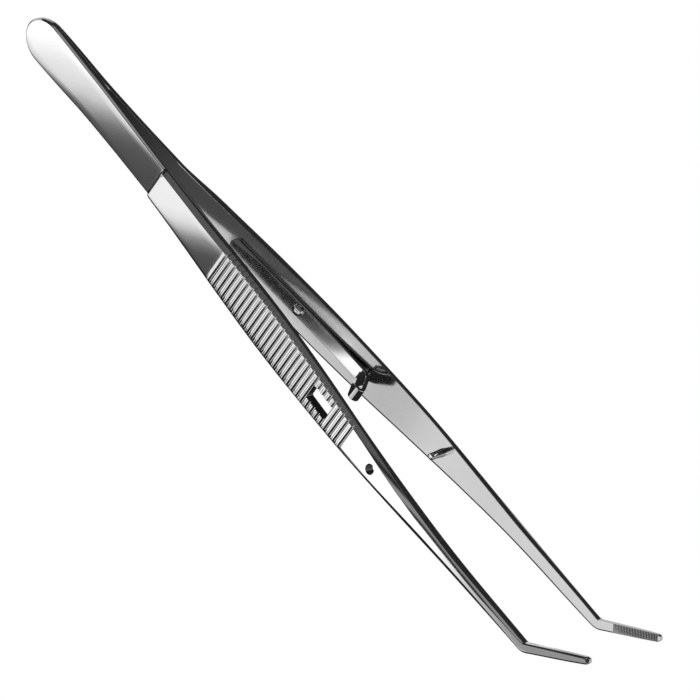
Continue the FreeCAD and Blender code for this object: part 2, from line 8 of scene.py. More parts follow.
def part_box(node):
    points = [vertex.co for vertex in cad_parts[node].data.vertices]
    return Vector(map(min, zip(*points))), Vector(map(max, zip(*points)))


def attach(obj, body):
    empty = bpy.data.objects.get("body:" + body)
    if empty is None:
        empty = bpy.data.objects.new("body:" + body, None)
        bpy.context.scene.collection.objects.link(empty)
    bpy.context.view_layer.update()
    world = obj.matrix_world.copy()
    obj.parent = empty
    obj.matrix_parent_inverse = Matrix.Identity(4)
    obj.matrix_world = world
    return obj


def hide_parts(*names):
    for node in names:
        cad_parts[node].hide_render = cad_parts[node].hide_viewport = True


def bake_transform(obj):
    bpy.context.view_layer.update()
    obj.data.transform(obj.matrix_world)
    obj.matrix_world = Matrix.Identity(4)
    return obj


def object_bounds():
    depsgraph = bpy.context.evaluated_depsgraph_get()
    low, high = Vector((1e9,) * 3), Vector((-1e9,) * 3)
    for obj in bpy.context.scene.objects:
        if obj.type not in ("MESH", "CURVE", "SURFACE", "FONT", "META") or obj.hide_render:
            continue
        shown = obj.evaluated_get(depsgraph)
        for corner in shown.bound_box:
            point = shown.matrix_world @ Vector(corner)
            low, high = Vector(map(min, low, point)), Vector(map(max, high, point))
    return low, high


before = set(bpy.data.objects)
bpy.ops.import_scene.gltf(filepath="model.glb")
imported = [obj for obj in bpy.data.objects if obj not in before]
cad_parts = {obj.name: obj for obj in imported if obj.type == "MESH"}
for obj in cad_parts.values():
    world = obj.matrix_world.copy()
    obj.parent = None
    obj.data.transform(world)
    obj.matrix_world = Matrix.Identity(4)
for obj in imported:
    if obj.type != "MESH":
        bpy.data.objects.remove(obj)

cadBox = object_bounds()
mm = 0.001
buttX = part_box("far_arm")[0].x  # butt end of both arms
midZ = sum(corner.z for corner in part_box("catch_leaf")) / 2  # middle of the width of the arms

edges = {
    "crisp": 20,  # degrees; a sharper edge than this stays sharp on the arms and the leaf
    "turned": 32,  # the same for the rivet and the pin
    "reach": 0.45,  # largest share of a side that a soft corner takes
    "weights": (0.42, 0.29),  # of the corner itself and of each end of its rounding
}


def place(x, y, z):
    # millimetres from the butt, from the plane between the arms and from the middle of the width
    return Vector((buttX + x * mm, y * mm, midZ + z * mm))


def pickOnly(obj):
    bpy.ops.object.select_all(action="DESELECT")
    obj.select_set(True)
    bpy.context.view_layer.objects.active = obj


def smoothRow(rows, x, column):
    # cubic through the rows, each row being (x, value, value, ...)
    last = len(rows) - 1
    i = max(0, min(last - 1, sum(1 for row in rows if row[0] <= x) - 1))

    def slope(k):
        a, b = max(0, k - 1), min(last, k + 1)
        return (rows[b][column] - rows[a][column]) / (rows[b][0] - rows[a][0])

    width = rows[i + 1][0] - rows[i][0]
    t = min(1, max(0, (x - rows[i][0]) / width))
    low, high = rows[i][column], rows[i + 1][column]
    return ((2 * t ** 3 - 3 * t ** 2 + 1) * low + (t ** 3 - 2 * t ** 2 + t) * width * slope(i)
            + (3 * t ** 2 - 2 * t ** 3) * high + (t ** 3 - t ** 2) * width * slope(i + 1))


def softCorner(before, corner, after, radius):
    # three points that round a corner of a section
    toBefore, toAfter = before - corner, after - corner
    reach = min(radius, edges["reach"] * toBefore.length, edges["reach"] * toAfter.length)
    first = corner + toBefore.normalized() * reach
    second = corner + toAfter.normalized() * reach
    own, shared = edges["weights"]
    return [first, corner * own + (first + second) * shared, second]


def roundedSection(corners, radius, splits):
    # closed section with soft corners; splits gives extra points on the side after each corner
    count = len(corners)
    softened = [softCorner(corners[k - 1], corners[k], corners[(k + 1) % count], radius)
                for k in range(count)]
    points = []
    for k in range(count):
        points += softened[k]
        start, end = softened[k][-1], softened[(k + 1) % count][0]
        points += [start.lerp(end, (j + 1) / (splits[k] + 1)) for j in range(splits[k])]
    return points


def shadeByAngle(obj, degrees):
    pickOnly(obj)
    bpy.ops.object.shade_smooth_by_angle(angle=math.radians(degrees))


def extrudeRings(name, rings, smooth=edges["crisp"]):
    # a disc extruded once for each ring, then every ring is brought to its own section
    count = len(rings[0])
    bpy.ops.object.select_all(action="DESELECT")
    bpy.ops.mesh.primitive_circle_add(vertices=count, radius=1, fill_type="NGON", location=(0, 0, 0))
    obj = bpy.context.object
    obj.name = name
    bpy.ops.object.mode_set(mode="EDIT")
    for _ in rings[1:]:
        bpy.ops.mesh.extrude_region_move(TRANSFORM_OT_translate={"value": (0, 0, 1)})
    bpy.ops.object.mode_set(mode="OBJECT")
    for vertex in obj.data.vertices:
        turn = math.atan2(vertex.co.y, vertex.co.x) / (2 * math.pi)
        vertex.co = rings[round(vertex.co.z)][round(turn * count) % count]
    bpy.ops.object.mode_set(mode="EDIT")
    bpy.ops.mesh.select_all(action="SELECT")
    bpy.ops.mesh.normals_make_consistent(inside=False)
    bpy.ops.object.mode_set(mode="OBJECT")
    shadeByAngle(obj, smooth)
    return obj


def cutAway(obj, cutter):
    # takes the cutter's form out of the piece
    pickOnly(obj)
    cut = obj.modifiers.new("cut", "BOOLEAN")
    cut.object = cutter
    cut.solver = "EXACT"
    bpy.ops.object.modifier_apply(modifier=cut.name)
    bpy.data.objects.remove(cutter)
    shadeByAngle(obj, edges["crisp"])


def newNode(tree, kind, **values):
    node = tree.nodes.new(kind)
    for key, value in values.items():
        setattr(node, key, value)
    return node


def mapped(tree, source, low, high, toLow, toHigh):
    node = newNode(tree, "ShaderNodeMapRange")
    for key, value in zip(("From Min", "From Max", "To Min", "To Max"), (low, high, toLow, toHigh)):
        node.inputs[key].default_value = value
    tree.links.new(source, node.inputs["Value"])
    return node.outputs["Result"]


def noise(tree, source, scale, detail):
    node = newNode(tree, "ShaderNodeTexNoise")
    node.inputs["Scale"].default_value = scale
    node.inputs["Detail"].default_value = detail
    tree.links.new(source, node.inputs["Vector"])
    return node.outputs["Fac"]


def bump(tree, height, strength, depth):
    node = newNode(tree, "ShaderNodeBump")
    node.inputs["Strength"].default_value = strength
    node.inputs["Distance"].default_value = depth
    tree.links.new(height, node.inputs["Height"])
    return node


steel = {
    "streakScale": (160, 5200, 5200),  # fine grinding lines along X
    "streakDetail": 3,
    "streakDepth": 0.000004,
    "mottleScale": 900,
    "mottleDetail": 4,
    "mottleDepth": 0.00001,
    "cloudScale": 120,  # slow changes of the tone
    "cloudDetail": 2,
    "noiseRange": (0.3, 0.7),  # part of the noise that is spread over the whole effect
    "glossRange": (0.85, 1.2),  # smoothest and roughest places, as shares of the roughness
}


def steelFinish(name, tone, roughness, mottle, streak, wear):
    # polished steel: fine grinding streaks along X, faint mottle, uneven gloss
    material = bpy.data.materials.new(name)
    material.use_nodes = True
    tree = material.node_tree
    shader = tree.nodes["Principled BSDF"]
    shader.inputs["Metallic"].default_value = 1
    here = newNode(tree, "ShaderNodeTexCoord").outputs["Object"]
    stretch = newNode(tree, "ShaderNodeMapping")
    stretch.inputs["Scale"].default_value = steel["streakScale"]
    tree.links.new(here, stretch.inputs["Vector"])
    streaks = noise(tree, stretch.outputs["Vector"], 1, steel["streakDetail"])
    mottling = noise(tree, here, steel["mottleScale"], steel["mottleDetail"])
    clouds = noise(tree, here, steel["cloudScale"], steel["cloudDetail"])
    low, high = steel["noiseRange"]
    smoothest, roughest = steel["glossRange"]
    colour = newNode(tree, "ShaderNodeValToRGB")
    colour.color_ramp.elements[0].position = low
    colour.color_ramp.elements[0].color = [c * (1 - wear) for c in tone] + [1]
    colour.color_ramp.elements[1].position = high
    colour.color_ramp.elements[1].color = list(tone) + [1]
    tree.links.new(clouds, colour.inputs["Fac"])
    tree.links.new(colour.outputs["Color"], shader.inputs["Base Color"])
    gloss = mapped(tree, mottling, low, high, roughness * smoothest, roughness * roughest)
    tree.links.new(gloss, shader.inputs["Roughness"])
    pits = bump(tree, mottling, mottle, steel["mottleDepth"])
    lines = bump(tree, streaks, streak, steel["streakDepth"])
    tree.links.new(pits.outputs["Normal"], lines.inputs["Normal"])
    tree.links.new(lines.outputs["Normal"], shader.inputs["Normal"])
    return material


# slot and hole walls: the roughness is their own rough finish, the dark tone is painted shade
roughShadedBore = steelFinish("roughShadedBore", (0.1, 0.1, 0.105),
                        roughness=0.35, mottle=0.3, streak=0.1, wear=0.2)
satinSteel = steelFinish("satinSteel", (0.76, 0.76, 0.765),
                         roughness=0.12, mottle=0.06, streak=0.12, wear=0.05)
brightSteel = steelFinish("brightSteel", (0.78, 0.78, 0.785),
                          roughness=0.07, mottle=0.03, streak=0.06, wear=0.03)
print("finishes ready")

arm = {
    "length": 150,
    # x, half gap, thickness, half width
    "pad": ((0, 0, 0.75, 3.73), (8.5, 0, 1.08, 3.59), (17, 0, 1.3, 3.3), (26, 0.6, 1.27, 3.08),
            (37.5, 1.57, 1.25, 2.9)),
    "blade": ((37.5, 1.57, 2.05, 2.9), (44, 2.24, 2.08, 3.0), (50, 2.95, 2.1, 3.13), (61, 4.16, 2.07, 3.5),
              (72, 5.37, 2.04, 3.64), (84, 6.7, 2.0, 3.28), (96, 8.02, 1.97, 2.62), (108, 8.75, 2.15, 1.78),
              (122, 9.22, 2.1, 1.02), (140, 9.5, 1.5, 0.78)),
    "tip": ((0, 9.5, 1.5, 0.78), (11.8, 9.43, 1.05, 0.62), (12.5, 9.43, 0.72, 0.34)),
    # x, near arm: bevel width, lower and upper bevel depth; far arm: bevel width, depth, wider by
    "bevels": ((37.5, 0.5, 0.5, 1.0, 0.5, 0.5, 0), (58, 0.5, 0.5, 1.1, 0.55, 0.6, 0),
               (70, 0.5, 0.5, 1.1, 0.8, 0.95, 0.08), (96, 0.5, 0.5, 1.1, 0.85, 1.0, 0.28),
               (104, 0.66, 0.5, 0.9, 0.7, 1.0, 0.28), (113, 0.8, 0.5, 0.6, 0.6, 1.0, 0.22),
               (120, 0.76, 0.5, 0.5, 0.5, 1.0, 0.2), (126, 0.7, 0.48, 0.48, 0.5, 0.9, 0.2),
               (134, 0.5, 0.42, 0.42, 0.45, 0.75, 0.15), (140, 0.3, 0.3, 0.3, 0.3, 0.4, 0)),
    "edge": 0.07,  # softness of the long edges
    "innerEdge": (0.33, 0.1),  # small bevel of the inner face: width, depth
    "innerShare": 0.3,  # its largest share of the half width
    "leastFace": 0.02,  # half width that the outer face keeps between its bevels
    "apart": 0.01,  # keeps two corners from falling together
    "splits": (4, 0, 1, 4, 0, 1, 0),  # extra points after each corner of a section
    "weldEnd": 17,  # the arms touch up to here
    "padEnd": 4.9,  # length of the round end, an oval
    "padBevel": 0.35,
    "padEndTurns": (5, 10, 16, 23, 31, 40, 49, 58, 67, 76, 85),  # degrees round the oval
    "padRings": 25,
    "padSpacing": 1.2,
    "padLastRings": (1.8, 0.9, 0.45),  # distances before the shoulder
    "padSlope": 0.085,  # of the half gap, just before the shoulder
    "stepLength": (0.85, 9.0),  # near arm, far arm
    "stepBefore": 0.4,  # the step up to the neck starts this far before the shoulder
    "stepParts": 6,
    "neckSpacing": 1.1,
    "shankParts": 40,  # from the last rib to the bend
    "ribStart": 56.9,
    "ribPitch": 1.29,
    "ribCount": 30,
    "ribWidth": 0.66,
    "ribDepth": 0.36,
    "ribMargin": 1,  # plain face before the first rib and after the last
    "ribShares": (-0.58, -0.48, -0.06, 0.06, 0.48, 0.58),  # rings across a groove, in groove widths
    "ribScore": 0.05,  # fine line along the top of each rib
    "scoreWidth": 0.05,
    "scoreRings": (-0.11, 0, 0.11),
    "bendX": 140,
    "bendRadius": 2.0,
    "bendParts": 7,
    "tipAngle": math.radians(36.8),
    "tipBevel": 0.26,
    "tipFirstRings": (0.6, 1.2, 1.8, 2.3),
    "noseRings": (0.45, 0.25, 0.08, 0),  # distances before the end of the tip
    "noseBevel": (0.3, 0.5),  # starts this far before the end, share of the bevel that is left
    "teethStart": 2.6,  # along the tip, from the bend
    "teethStop": 0.5,  # before the end of the tip
    "toothPitch": 0.3,
    "toothDepth": 0.09,
}


def groove(distance, width, depth):
    # depth of a V groove at a distance from its middle
    return max(0, depth * (1 - 2 * abs(distance) / width))


def armSection(half, thick, gap, bevel, lowDepth, highDepth, side, cut=0, tooth=0):
    # points across the arm as (away from the other arm, across the width)
    outer = gap + thick
    face = max(arm["leastFace"], half - bevel)
    edgeWidth, edgeDepth = arm["innerEdge"]
    inner = min(edgeWidth * min(1, gap), arm["innerShare"] * half)
    rise = inner * edgeDepth / edgeWidth
    apart = arm["apart"]
    corners = [Vector(c) for c in (
        (outer, -face), (outer, face), (outer - highDepth, half), (gap, half),
        (gap, inner - half - apart), (gap + rise + apart, -half), (outer - lowDepth, -half))]
    points = roundedSection(corners, arm["edge"], arm["splits"])
    for point in points:
        point.x = max(min(point.x, outer - cut), gap + tooth)
        point.x *= side
    return points


def bendStart():
    return arm["bendX"] - arm["bendRadius"] * math.tan(arm["tipAngle"] / 2)


def padRings(side):
    rows = arm["pad"]
    end, length = rows[-1][0], arm["padEnd"]
    stations = [length * (1 - math.cos(math.radians(a))) for a in arm["padEndTurns"]]
    stations += [length + arm["padSpacing"] * k for k in range(1, arm["padRings"] + 1)]
    stations += [end - back for back in arm["padLastRings"]]
    rings = []
    for x in stations:
        half = smoothRow(rows, x, 3)
        bevel = depth = arm["padBevel"]
        thick = smoothRow(rows, x, 2)
        if x < length:
            full = smoothRow(rows, length, 3)
            half = full * math.sqrt(1 - (1 - x / length) ** 2)
            inside = 1 - ((length - x) / (length - bevel)) ** 2
            bevel = half - (full - bevel) * math.sqrt(max(0, inside))
            rise = min(x, depth)
            thick = thick - depth + rise
            depth = rise
        gap = max(0, smoothRow(rows, x, 1)) if x > arm["weldEnd"] else 0
        section = armSection(half, thick, gap, bevel, depth, depth, side)
        rings.append([place(x, p.x, p.y) for p in section])
    return rings


def bladeStations(first, stepLength, ribs):
    # the step, the neck, each rib with its groove and its fine line, and the taper
    parts = arm["stepParts"]
    stations = [first + stepLength * k / parts for k in range(parts + 1)]
    begin = stations[-1]
    neck = ribs[0] - arm["ribMargin"] - begin
    parts = round(neck / arm["neckSpacing"])
    stations += [begin + neck * k / parts for k in range(1, parts + 1)]
    for rib in ribs:
        stations += [rib + arm["ribWidth"] * share for share in arm["ribShares"]]
        stations += [rib + arm["ribPitch"] / 2 + shift for shift in arm["scoreRings"]]
    after, parts = ribs[-1] + arm["ribMargin"], arm["shankParts"]
    return stations + [after + (bendStart() - after) * k / parts for k in range(parts + 1)]


def bladeRings(side):
    rows = arm["blade"]
    start = rows[0][0]
    stepLength = arm["stepLength"][0 if side < 0 else 1]
    stepHeight = rows[0][2] - arm["pad"][-1][2]
    first = start - arm["stepBefore"]
    ribs = [arm["ribStart"] + arm["ribPitch"] * k for k in range(arm["ribCount"])]
    rings = []
    for x in bladeStations(first, stepLength, ribs):
        gap, thick, half = (smoothRow(rows, max(x, start), column) for column in (1, 2, 3))
        bevel, lowDepth, highDepth, farBevel, farDepth, wider = (
            smoothRow(arm["bevels"], max(x, start), column) for column in range(1, 7))
        if side > 0:
            half += wider
            bevel, lowDepth, highDepth = farBevel, farDepth, farDepth
        lift = min(1, (x - first) / stepLength)
        lift = lift * lift * (3 - 2 * lift)
        thick -= stepHeight * (1 - lift)
        gap -= (start - x) * arm["padSlope"] if x < start else 0
        bevel, lowDepth, highDepth = (value + (arm["padBevel"] - value) * (1 - lift)
                                      for value in (bevel, lowDepth, highDepth))
        nearest = min(ribs, key=lambda rib: abs(rib - x))
        cut = groove(x - nearest, arm["ribWidth"], arm["ribDepth"])
        fromTop = abs(abs(x - nearest) - arm["ribPitch"] / 2)
        if ribs[0] < x < ribs[-1] and fromTop < arm["scoreWidth"]:
            cut = arm["ribScore"]
        section = armSection(half, thick, gap, bevel, lowDepth, highDepth, side, cut)
        rings.append([place(x, p.x, p.y) for p in section])
    return rings


def tipRings(side):
    angle, radius, rows = arm["tipAngle"], arm["bendRadius"], arm["tip"]
    bevel, gap, thick, half = arm["tipBevel"], *rows[0][1:]
    rings = []
    for k in range(1, arm["bendParts"] + 1):
        turn = angle * k / arm["bendParts"]
        section = armSection(half, thick, gap, bevel, bevel, bevel, side)
        rings.append([place(bendStart() + (radius - p.y) * math.sin(turn), p.x,
                            radius - (radius - p.y) * math.cos(turn)) for p in section])
    startX = bendStart() + radius * math.sin(angle)
    startZ = radius * (1 - math.cos(angle))
    end = (arm["length"] - rows[-1][3] * math.sin(angle) - startX) / math.cos(angle)
    scale = rows[-1][0] / end
    first, pitch = arm["teethStart"], arm["toothPitch"]
    quarter = pitch / 4
    stations = list(arm["tipFirstRings"])
    stations += [first + quarter * k for k in range(int((end - arm["teethStop"] - first) / quarter))]
    stations += [end - back for back in arm["noseRings"]]
    noseStart, noseShare = arm["noseBevel"]
    for s in stations:
        gap, thick, half = (smoothRow(rows, s * scale, column) for column in (1, 2, 3))
        tooth = 0
        if first < s < end - arm["noseRings"][0]:
            phase = ((s - first) / pitch) % 1
            tooth = arm["toothDepth"] * (1 - abs(2 * phase - 1))
        bevel = arm["tipBevel"] * (noseShare if s > end - noseStart else 1)
        section = armSection(half, thick, gap, bevel, bevel, bevel, side, 0, tooth)
        rings.append([place(startX + s * math.cos(angle) - p.y * math.sin(angle), p.x,
                            startZ + s * math.sin(angle) + p.y * math.cos(angle)) for p in section])
    return rings


def makeArm(name, node, side):
    obj = extrudeRings(name, padRings(side) + bladeRings(side) + tipRings(side))
    obj.data.materials.append(satinSteel)
    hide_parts(node)
    return obj


window = {"start": 84.0, "length": 5.2, "width": 2.7, "corner": 0.3, "cornerParts": 4, "y": -7.8, "deep": 8}
guideHole = {"x": 101.25, "diameter": 1.85, "sides": 48, "y": -9.4, "deep": 6}
wallMargin = 0.01  # a wall of the slot or the hole is looked for this far outside them
wallSlant = 0.1  # largest slant of such a wall's normal to the cut


def cutWindow(obj):
    bpy.ops.object.select_all(action="DESELECT")
    centre = place(window["start"] + window["length"] / 2, window["y"], 0)
    bpy.ops.mesh.primitive_cube_add(size=1, location=centre)
    cutter = bpy.context.object
    cutter.scale = (window["length"] * mm, window["deep"] * mm, window["width"] * mm)
    bpy.ops.object.transform_apply(location=True, rotation=False, scale=True)
    bpy.ops.object.mode_set(mode="EDIT")
    bpy.ops.mesh.select_all(action="DESELECT")
    mesh = bmesh.from_edit_mesh(cutter.data)
    for edge in mesh.edges:
        edge.select = abs(edge.verts[0].co.y - edge.verts[1].co.y) > mm
    bmesh.update_edit_mesh(cutter.data)
    bpy.ops.mesh.bevel(offset=window["corner"] * mm, segments=window["cornerParts"])
    bpy.ops.object.mode_set(mode="OBJECT")
    cutAway(obj, cutter)


def cutGuideHole(obj):
    bpy.ops.object.select_all(action="DESELECT")
    bpy.ops.mesh.primitive_cylinder_add(vertices=guideHole["sides"],
                                        radius=guideHole["diameter"] / 2 * mm,
                                        depth=guideHole["deep"] * mm,
                                        location=place(guideHole["x"], guideHole["y"], 0),
                                        rotation=(math.pi / 2, 0, 0))
    cutAway(obj, bpy.context.object)


def roughAndShadeWalls(obj):
    # the walls of the slot and the hole, which the cutter left, get a rougher steel whose dark tone is
    # painted shade inside them
    obj.data.materials.append(roughShadedBore)
    shadeIndex = len(obj.data.materials) - 1
    start = place(window["start"] - wallMargin, 0, 0).x
    end = place(window["start"] + window["length"] + wallMargin, 0, 0).x
    halfWidth = (window["width"] / 2 + wallMargin) * mm
    hole = place(guideHole["x"], 0, 0)
    radius = (guideHole["diameter"] / 2 + wallMargin) * mm
    for face in obj.data.polygons:
        centre = face.center
        inSlot = start < centre.x < end and abs(centre.z - midZ) < halfWidth
        inHole = math.hypot(centre.x - hole.x, centre.z - hole.z) < radius
        if (inSlot or inHole) and abs(face.normal.y) < wallSlant:
            face.material_index = shadeIndex


nearArm = makeArm("nearArm", "near_arm", -1)
cutWindow(nearArm)
cutGuideHole(nearArm)
roughAndShadeWalls(nearArm)
nearArm.visible_glossy = False  # in reflections the plain cards between the arms stand for its inner side
farArm = makeArm("farArm", "far_arm", 1)
print("arms ready", len(nearArm.data.polygons), len(farArm.data.polygons))

leaf = {
    "rivetX": 68.2,
    "clearance": 0.06,
    "thickness": 0.7,
    "width": 2.4,
    "edge": 0.12,
    "splits": (3, 0, 3, 0),  # extra points after each corner of the section
    "tail": 16.3,  # from the rivet back to the round tail
    "tailTurns": (8, 20, 35, 50, 65, 80),  # degrees round the tail
    "flat": 1.5,  # from the rivet to the start of the bow
    "flatParts": 12,
    "bowRadius": 150.0,
    "bowAngle": math.radians(5.1),
    "bowParts": 14,
    "bendRadius": 2.65,
    "bendParts": 16,
    "hookAngle": math.radians(64.5),
    "hookLength": 3.1,
    "foldRadius": 0.66,
    "foldParts": 20,
    "barbLength": 4.0,
    "straightParts": 6,
}
gripStart, gripEnd = arm["blade"][2], arm["blade"][6]  # the far arm's inner face is flat between them
gripSlope = (gripEnd[1] - gripStart[1]) / (gripEnd[0] - gripStart[0])
faceTurn = math.atan(gripSlope)
rivetY = gripStart[1] + (leaf["rivetX"] - gripStart[0]) * gripSlope


def onFace(u, v, z):
    # u along the far arm's inner face from the rivet, v out from that face
    x = leaf["rivetX"] + u * math.cos(faceTurn) + v * math.sin(faceTurn)
    y = rivetY + u * math.sin(faceTurn) - v * math.cos(faceTurn)
    return place(x, y, z)


def leafPath():
    # stations along the strip as (u, v, direction)
    u, v, turn = -leaf["tail"], leaf["clearance"] + leaf["thickness"] / 2, 0.0
    half = leaf["width"] / 2
    path = [(u + half * (1 - math.cos(math.radians(a))), v, turn) for a in leaf["tailTurns"]]
    straight, parts = leaf["tail"] + leaf["flat"], leaf["flatParts"]
    path += [(u + straight * k / parts, v, turn) for k in range(1, parts + 1)]
    u += straight
    # each arc: radius, direction at its end, length of the straight part that follows, parts
    arcs = ((leaf["bowRadius"], leaf["bowAngle"], 0, leaf["bowParts"]),
            (leaf["bendRadius"], leaf["hookAngle"], leaf["hookLength"], leaf["bendParts"]),
            (leaf["foldRadius"], leaf["hookAngle"] + math.pi, leaf["barbLength"], leaf["foldParts"]))
    for radius, target, length, steps in arcs:
        step = (target - turn) / steps
        for _ in range(steps):
            chord = 2 * radius * math.sin(step / 2)
            u += chord * math.cos(turn + step / 2)
            v += chord * math.sin(turn + step / 2)
            turn += step
            path.append((u, v, turn))
        if length:
            parts = leaf["straightParts"]
            path += [(u + length * k / parts * math.cos(turn), v + length * k / parts * math.sin(turn), turn)
                     for k in range(1, parts + 1)]
            u, v = path[-1][:2]
    return path


def makeLeaf():
    half, thick = leaf["width"] / 2, leaf["thickness"] / 2
    rings = []
    for u, v, turn in leafPath():
        fromTail = u + leaf["tail"]
        wide = math.sqrt(half ** 2 - (half - fromTail) ** 2) if fromTail < half else half
        corners = [Vector(c) for c in ((thick, -wide), (thick, wide), (-thick, wide), (-thick, -wide))]
        section = roundedSection(corners, leaf["edge"], leaf["splits"])
        rings.append([onFace(u - p.x * math.sin(turn), v + p.x * math.cos(turn), p.y) for p in section])
    obj = extrudeRings("catchLeaf", rings)
    obj.data.materials.append(brightSteel)
    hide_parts("catch_leaf")
    return obj


catchLeaf = makeLeaf()

rivet = {
    "shank": 0.6,  # radius, as is the head's
    "through": 2.1,  # below the face
    "head": 1.05,
    "rim": 0.12,  # height of the head's straight edge
    "dome": 0.5,
    "domeTurns": (20, 40, 58, 74, 86),
}
pin = {
    "x": 101.6,
    "y": 8.36,
    "turn": math.atan(0.73 / 12),  # the arm's slope there
    "through": 2.0,  # below the face
    "foot": 0.02,
    "base": 0.8,  # radius at the face
    "end": 0.6,  # radius at the free end
    "length": 3.3,
    "round": 0.42,
    "parts": 8,
    "roundTurns": (25, 50, 75, 90),
}
turnedSides = 40


def turnedPiece(name, profile, placeFor, material, node):
    # profile is (distance from the axis, height along it), turned about the axis
    turns = [2 * math.pi * k / turnedSides for k in range(turnedSides)]
    rings = [[placeFor(radius * math.cos(turn), height, radius * math.sin(turn)) for turn in turns]
             for radius, height in profile]
    obj = extrudeRings(name, rings, edges["turned"])
    obj.data.materials.append(material)
    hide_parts(node)
    return obj


def makeRivet():
    shank, head, rim = rivet["shank"], rivet["head"], rivet["rim"]
    under = leaf["clearance"] * 2 + leaf["thickness"]
    profile = [(shank, -rivet["through"]), (shank, under), (head, under), (head, under + rim)]
    for angle in rivet["domeTurns"]:
        lean = math.radians(angle)
        profile.append((head * math.cos(lean), under + rim + (rivet["dome"] - rim) * math.sin(lean)))
    return turnedPiece("catchRivet", profile, onFace, satinSteel, "catch_rivet")


def onPin(a, v, b):
    # a and b across the pin, v out from the far arm's inner face
    x = pin["x"] + a * math.cos(pin["turn"]) + v * math.sin(pin["turn"])
    y = pin["y"] + a * math.sin(pin["turn"]) - v * math.cos(pin["turn"])
    return place(x, y, b)


def makePin():
    base, end, rounding, parts = pin["base"], pin["end"], pin["round"], pin["parts"]
    straight = pin["length"] - rounding
    profile = [(base, -pin["through"]), (base, pin["foot"])]
    profile += [(base + (end - base) * k / parts, straight * k / parts) for k in range(1, parts + 1)]
    for angle in pin["roundTurns"]:
        lean = math.radians(angle)
        profile.append((end - rounding * (1 - math.cos(lean)), straight + rounding * math.sin(lean)))
    return turnedPiece("guidePin", profile, onPin, satinSteel, "guide_pin")


catchRivet = makeRivet()
guidePin = makePin()
print("catch, rivet and pin ready")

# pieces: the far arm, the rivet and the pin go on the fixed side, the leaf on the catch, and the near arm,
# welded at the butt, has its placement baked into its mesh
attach(farArm, "fixed_side")
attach(catchRivet, "fixed_side")
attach(guidePin, "fixed_side")
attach(catchLeaf, "catch")
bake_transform(nearArm)

studio = {
    "floorSize": 6.0,
    "floorTone": 0.97,
    "floorRoughness": 0.9,
    "light": 1.0,  # even white room that lights everything except the reflections
    "base": 0.018,  # the dark room that the steel reflects
    # its bright patches: azimuth from -Y towards -X and elevation, each as (low, high) in degrees,
    # then softness and strength
    "patches": (
        ((-30, 12.5), (-47, -12), 4, 0.6),
        ((12.5, 34), (-47, -12), 4, 0.84),
        ((60, 172), (54, 84), 8, 0.09),
        ((12, 56), (40, 58), 6, 0.3),
        ((-174, -140), (18, 42), 6, 1.2),
        ((60, 190), (-20, 14), 8, 0.55),
        ((-190, -38), (-20, 14), 8, 0.55),
        ((-190, 190), (80, 96), 6, 0.5),
    ),
}

# cards that only the polished steel sees: plan (x, y) of both ends, lower and upper height at the first
# end and then at the second, and grey tones along x, whose lines lean by tilt around the given level
reflectors = (
    {"name": "padReflector", "ends": ((-30, -19), (30, -19)), "heights": (-26, 6, -26, 6),
     "tilt": 1.6, "level": -12.4,
     "tones": ((-30, 0.95), (-8, 0.9), (-3, 0.75), (3, 0.64), (5.5, 0.56), (7.6, 0.38), (9.4, 0.28),
               (11.4, 0.165), (13.4, 0.115), (16, 0.083), (25.25, 0.06), (30, 0.06))},
    {"name": "neckReflector", "ends": ((34.4, -7.236), (53.5, -9.32)), "heights": (-6.5, 5, -6.5, 5),
     "tilt": 1.5, "level": -2.75,
     "tones": ((34.4, 0.78), (40, 0.76), (42.9, 0.66), (44.95, 0.485), (47.1, 0.24), (49.2, 0.13),
               (51.2, 0.075), (53.5, 0.065))},
    {"name": "bladeReflector", "ends": ((51, -12.04), (165, -24.5)), "heights": (-8.2, 5, -8.2, 5),
     "tilt": 0, "level": -4.3,
     "tones": ((51, 0.7), (89.6, 0.7), (90.6, 1.0), (110.5, 1.0), (115.5, 0.9), (120.5, 0.7), (125.7, 0.45),
               (132.8, 0.3), (138, 0.25), (165, 0.25))},
    {"name": "leafReflector", "ends": ((46.3, -19), (74, -19)), "heights": (-13.7, -10.9, -16.35, -13.75),
     "tilt": 0.8, "level": -14.5,
     "tones": ((46.3, 0.008), (58, 0.01), (64, 0.017), (66.5, 0.065), (69, 0.12), (70.5, 0.3), (72, 0.9),
               (74, 1.0))},
    {"name": "padInside", "ends": ((19, -0.3), (38, -1.78)), "heights": (-3.1, 3.2, -3.0, 3.2),
     "tilt": 0, "level": 0,
     "tones": ((19, 0.01), (30, 0.03), (38, 0.05))},
    {"name": "bladeInside", "ends": ((38, -1.78), (83.5, -6.8)), "heights": (-3.0, 3.3, -3.45, 3.3),
     "tilt": 0, "level": 0,
     "tones": ((38, 0.05), (60, 0.06), (83.5, 0.13))},
)
reflectorStrength = 1.5


def cameraWhite(tree, shader):
    # pure white where the camera looks at it, paper for everything else
    glow = newNode(tree, "ShaderNodeEmission")
    lightPath = newNode(tree, "ShaderNodeLightPath")
    mix = newNode(tree, "ShaderNodeMixShader")
    tree.links.new(lightPath.outputs["Is Camera Ray"], mix.inputs[0])
    tree.links.new(shader.outputs[0], mix.inputs[1])
    tree.links.new(glow.outputs[0], mix.inputs[2])
    tree.links.new(mix.outputs[0], tree.nodes["Material Output"].inputs["Surface"])


def makeFloor():
    bpy.ops.object.select_all(action="DESELECT")
    bpy.ops.mesh.primitive_plane_add(size=studio["floorSize"], location=(0, 0, cadBox[0].z))
    floor = bpy.context.object
    floor.name = "floor"
    material = bpy.data.materials.new("floorPaper")
    material.use_nodes = True
    shader = material.node_tree.nodes["Principled BSDF"]
    shader.inputs["Base Color"].default_value = (studio["floorTone"],) * 3 + (1,)
    shader.inputs["Roughness"].default_value = studio["floorRoughness"]
    shader.inputs["Specular IOR Level"].default_value = 0
    cameraWhite(material.node_tree, shader)
    floor.data.materials.append(material)
    floor.visible_glossy = False


